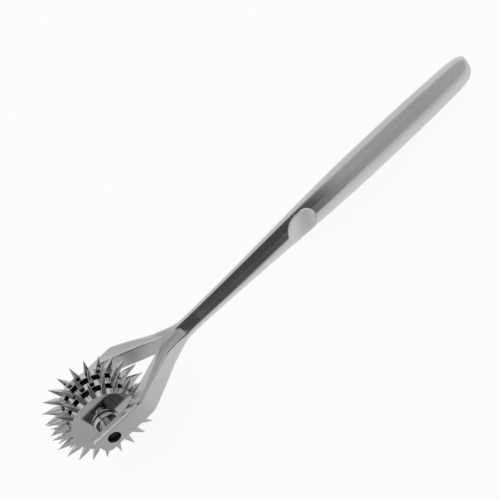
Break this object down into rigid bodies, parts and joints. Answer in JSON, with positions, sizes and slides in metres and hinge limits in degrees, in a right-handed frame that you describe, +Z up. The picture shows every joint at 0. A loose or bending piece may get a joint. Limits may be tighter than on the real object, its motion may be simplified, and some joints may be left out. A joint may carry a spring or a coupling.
{
  "type": "neurological pinwheel",
  "caption": "Polished steel hand instrument for testing skin feeling: a round handle with a thumb scoop ends in a fork, and spiked discs turn freely on a pin between its arms.",
  "frame": {"origin": "middle of the bounding box, on the surface that the instrument lies on", "axes": "+X along the instrument from the spiked discs towards the handle's end, +Y along the discs' pin from the near arm to the far arm, +Z up; the instrument leans about Y so that spikes and handle end both touch the surface"},
  "size_m": [0.1798, 0.0284, 0.036],
  "materials": {
    "polished_steel": "polished",
    "dark_steel": "dull"
  },
  "bodies": {
    "handle": {"handle_fork": "polished_steel", "axle_pin": "dark_steel", "near_bush": "polished_steel", "far_bush": "polished_steel", "near_spacer": "polished_steel", "far_spacer": "polished_steel"},
    "near_wheel": {"near_disc": "polished_steel"},
    "middle_wheel": {"middle_disc": "polished_steel"},
    "far_wheel": {"far_disc": "polished_steel"}
  },
  "joints": [
    {"name": "near_spin", "type": "hinge", "parent": "handle", "child": "near_wheel", "pos_m": [-0.07195, -0.0051, 0.018], "axis": [0, 1, 0], "continuous": true},
    {"name": "middle_spin", "type": "hinge", "parent": "handle", "child": "middle_wheel", "pos_m": [-0.07195, 0, 0.018], "axis": [0, 1, 0], "continuous": true},
    {"name": "far_spin", "type": "hinge", "parent": "handle", "child": "far_wheel", "pos_m": [-0.07195, 0.0051, 0.018], "axis": [0, 1, 0], "continuous": true}
  ]
}
